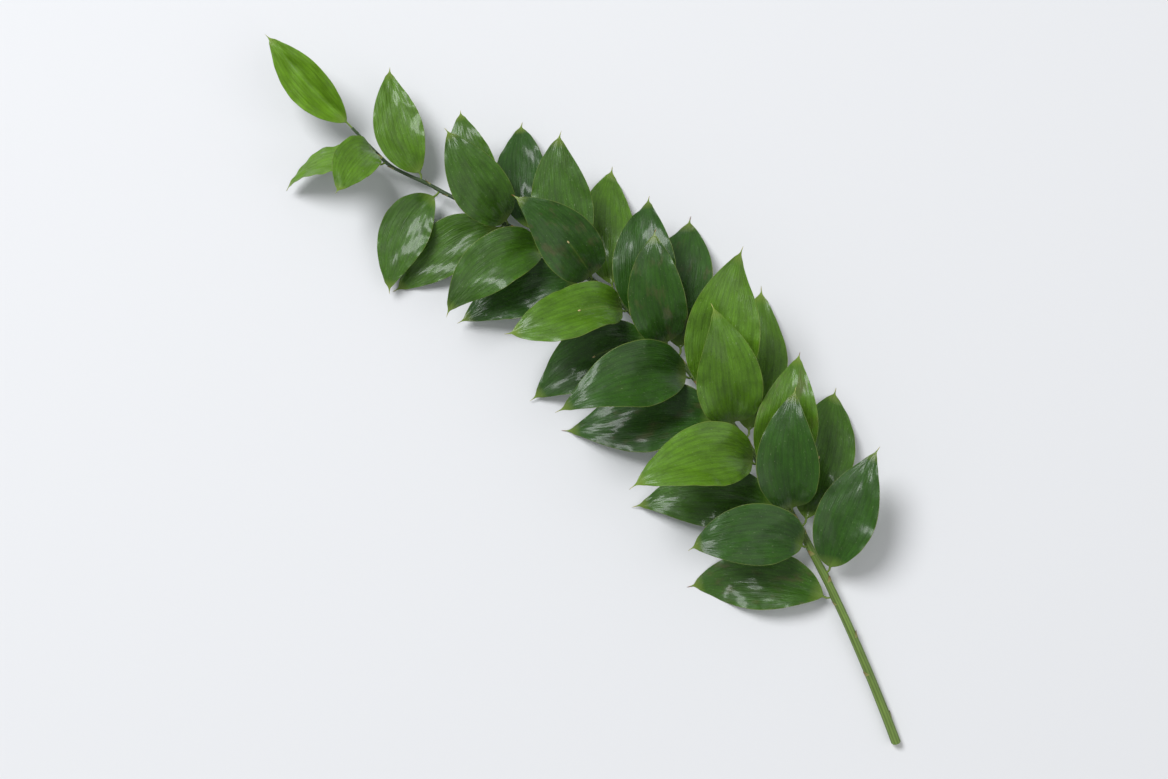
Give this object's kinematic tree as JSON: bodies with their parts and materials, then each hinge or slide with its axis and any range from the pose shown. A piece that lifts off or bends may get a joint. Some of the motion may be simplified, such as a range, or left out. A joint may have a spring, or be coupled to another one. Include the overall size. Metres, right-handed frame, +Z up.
{
  "type": "ruscus stem",
  "caption": "Fresh cut stem of broad-leaved ruscus lying on its leaves: a thin bowed green stem, bare at its slanted cut end and closely set with glossy pointed leaves up to its tip.",
  "frame": {"origin": "on the ground, under the middle of the whole leafy stem", "axes": "+X along the stem from its cut end towards its tip, +Y towards the left of the stem seen from above, +Z up"},
  "size_m": [0.5604, 0.1702, 0.0637],
  "materials": {
    "leaf_green": "satin"
  },
  "bodies": {
    "root": {"leafy_stem": "leaf_green"}
  },
  "joints": []
}
